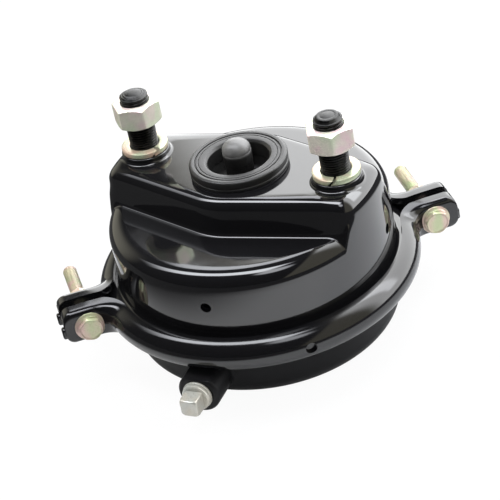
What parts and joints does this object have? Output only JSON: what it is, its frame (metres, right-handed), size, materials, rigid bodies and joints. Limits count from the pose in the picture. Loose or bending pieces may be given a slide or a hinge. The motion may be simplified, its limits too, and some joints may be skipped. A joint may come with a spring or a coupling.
{
  "type": "air brake chamber",
  "caption": "Clamp-ring air brake chamber with a raised mounting plateau, threaded mounting studs, spring-returned push rod and side air ports.",
  "frame": {"origin": "centre of the pressure housing's flat bottom, on the push rod's axis", "axes": "+Z along the push rod's stroke, out of the mounting face; +X along the line of the two mounting studs; +Y away from the plugged port"},
  "size_m": [0.2017, 0.2173, 0.1413],
  "materials": {
    "black_enamel": "gloss",
    "clamp_enamel": "gloss",
    "lower_enamel": "gloss",
    "stud_black": "satin",
    "nut_zinc": "bright",
    "washer_zinc": "bright",
    "bolt_zinc": "bright",
    "plug_zinc": "bright",
    "seal_rubber": "satin",
    "boot_rubber": "matte",
    "diaphragm_rubber": "matte",
    "rod_steel": "satin",
    "plate_steel": "satin",
    "spring_steel": "satin"
  },
  "bodies": {
    "housing": {"mounting_housing": "black_enamel", "pressure_housing": "lower_enamel", "clamp_half_front": "clamp_enamel", "clamp_half_rear": "clamp_enamel", "clamp_bolt_left": "bolt_zinc", "clamp_bolt_right": "bolt_zinc", "clamp_nut_left": "bolt_zinc", "clamp_nut_right": "bolt_zinc", "stud_left": "stud_black", "stud_right": "stud_black", "face_seal": "seal_rubber", "boot": "boot_rubber", "boot_retainer": "plate_steel", "diaphragm": "diaphragm_rubber", "return_spring": "spring_steel", "port_boss_front": "lower_enamel", "port_boss_rear": "lower_enamel", "port_plug": "plug_zinc", "plug_washer": "plug_zinc"},
    "rod": {"push_rod": "rod_steel", "push_plate": "plate_steel", "boot_collar": "plate_steel"},
    "nut_left": {"stud_nut_left": "nut_zinc"},
    "nut_right": {"stud_nut_right": "nut_zinc"},
    "washer_left": {"spring_washer_left": "washer_zinc"},
    "washer_right": {"spring_washer_right": "washer_zinc"}
  },
  "joints": [
    {"name": "rod_stroke", "type": "slide", "parent": "housing", "child": "rod", "axis": [0, 0, 1], "range_m": [0, 0.057], "stiffness_N_per_m": 2500, "springref_m": -0.05, "deforming": ["return_spring", "boot", "diaphragm"]},
    {"name": "nut_left_run", "type": "slide", "parent": "housing", "child": "nut_left", "axis": [0, 0, 1], "range_m": [-0.0141, 0.01]},
    {"name": "washer_left_lift", "type": "slide", "parent": "housing", "child": "washer_left", "axis": [0, 0, 1], "range_m": [0, 0.014]},
    {"name": "nut_right_run", "type": "slide", "parent": "housing", "child": "nut_right", "axis": [0, 0, 1], "range_m": [-0.0141, 0.01]},
    {"name": "washer_right_lift", "type": "slide", "parent": "housing", "child": "washer_right", "axis": [0, 0, 1], "range_m": [0, 0.014]}
  ]
}
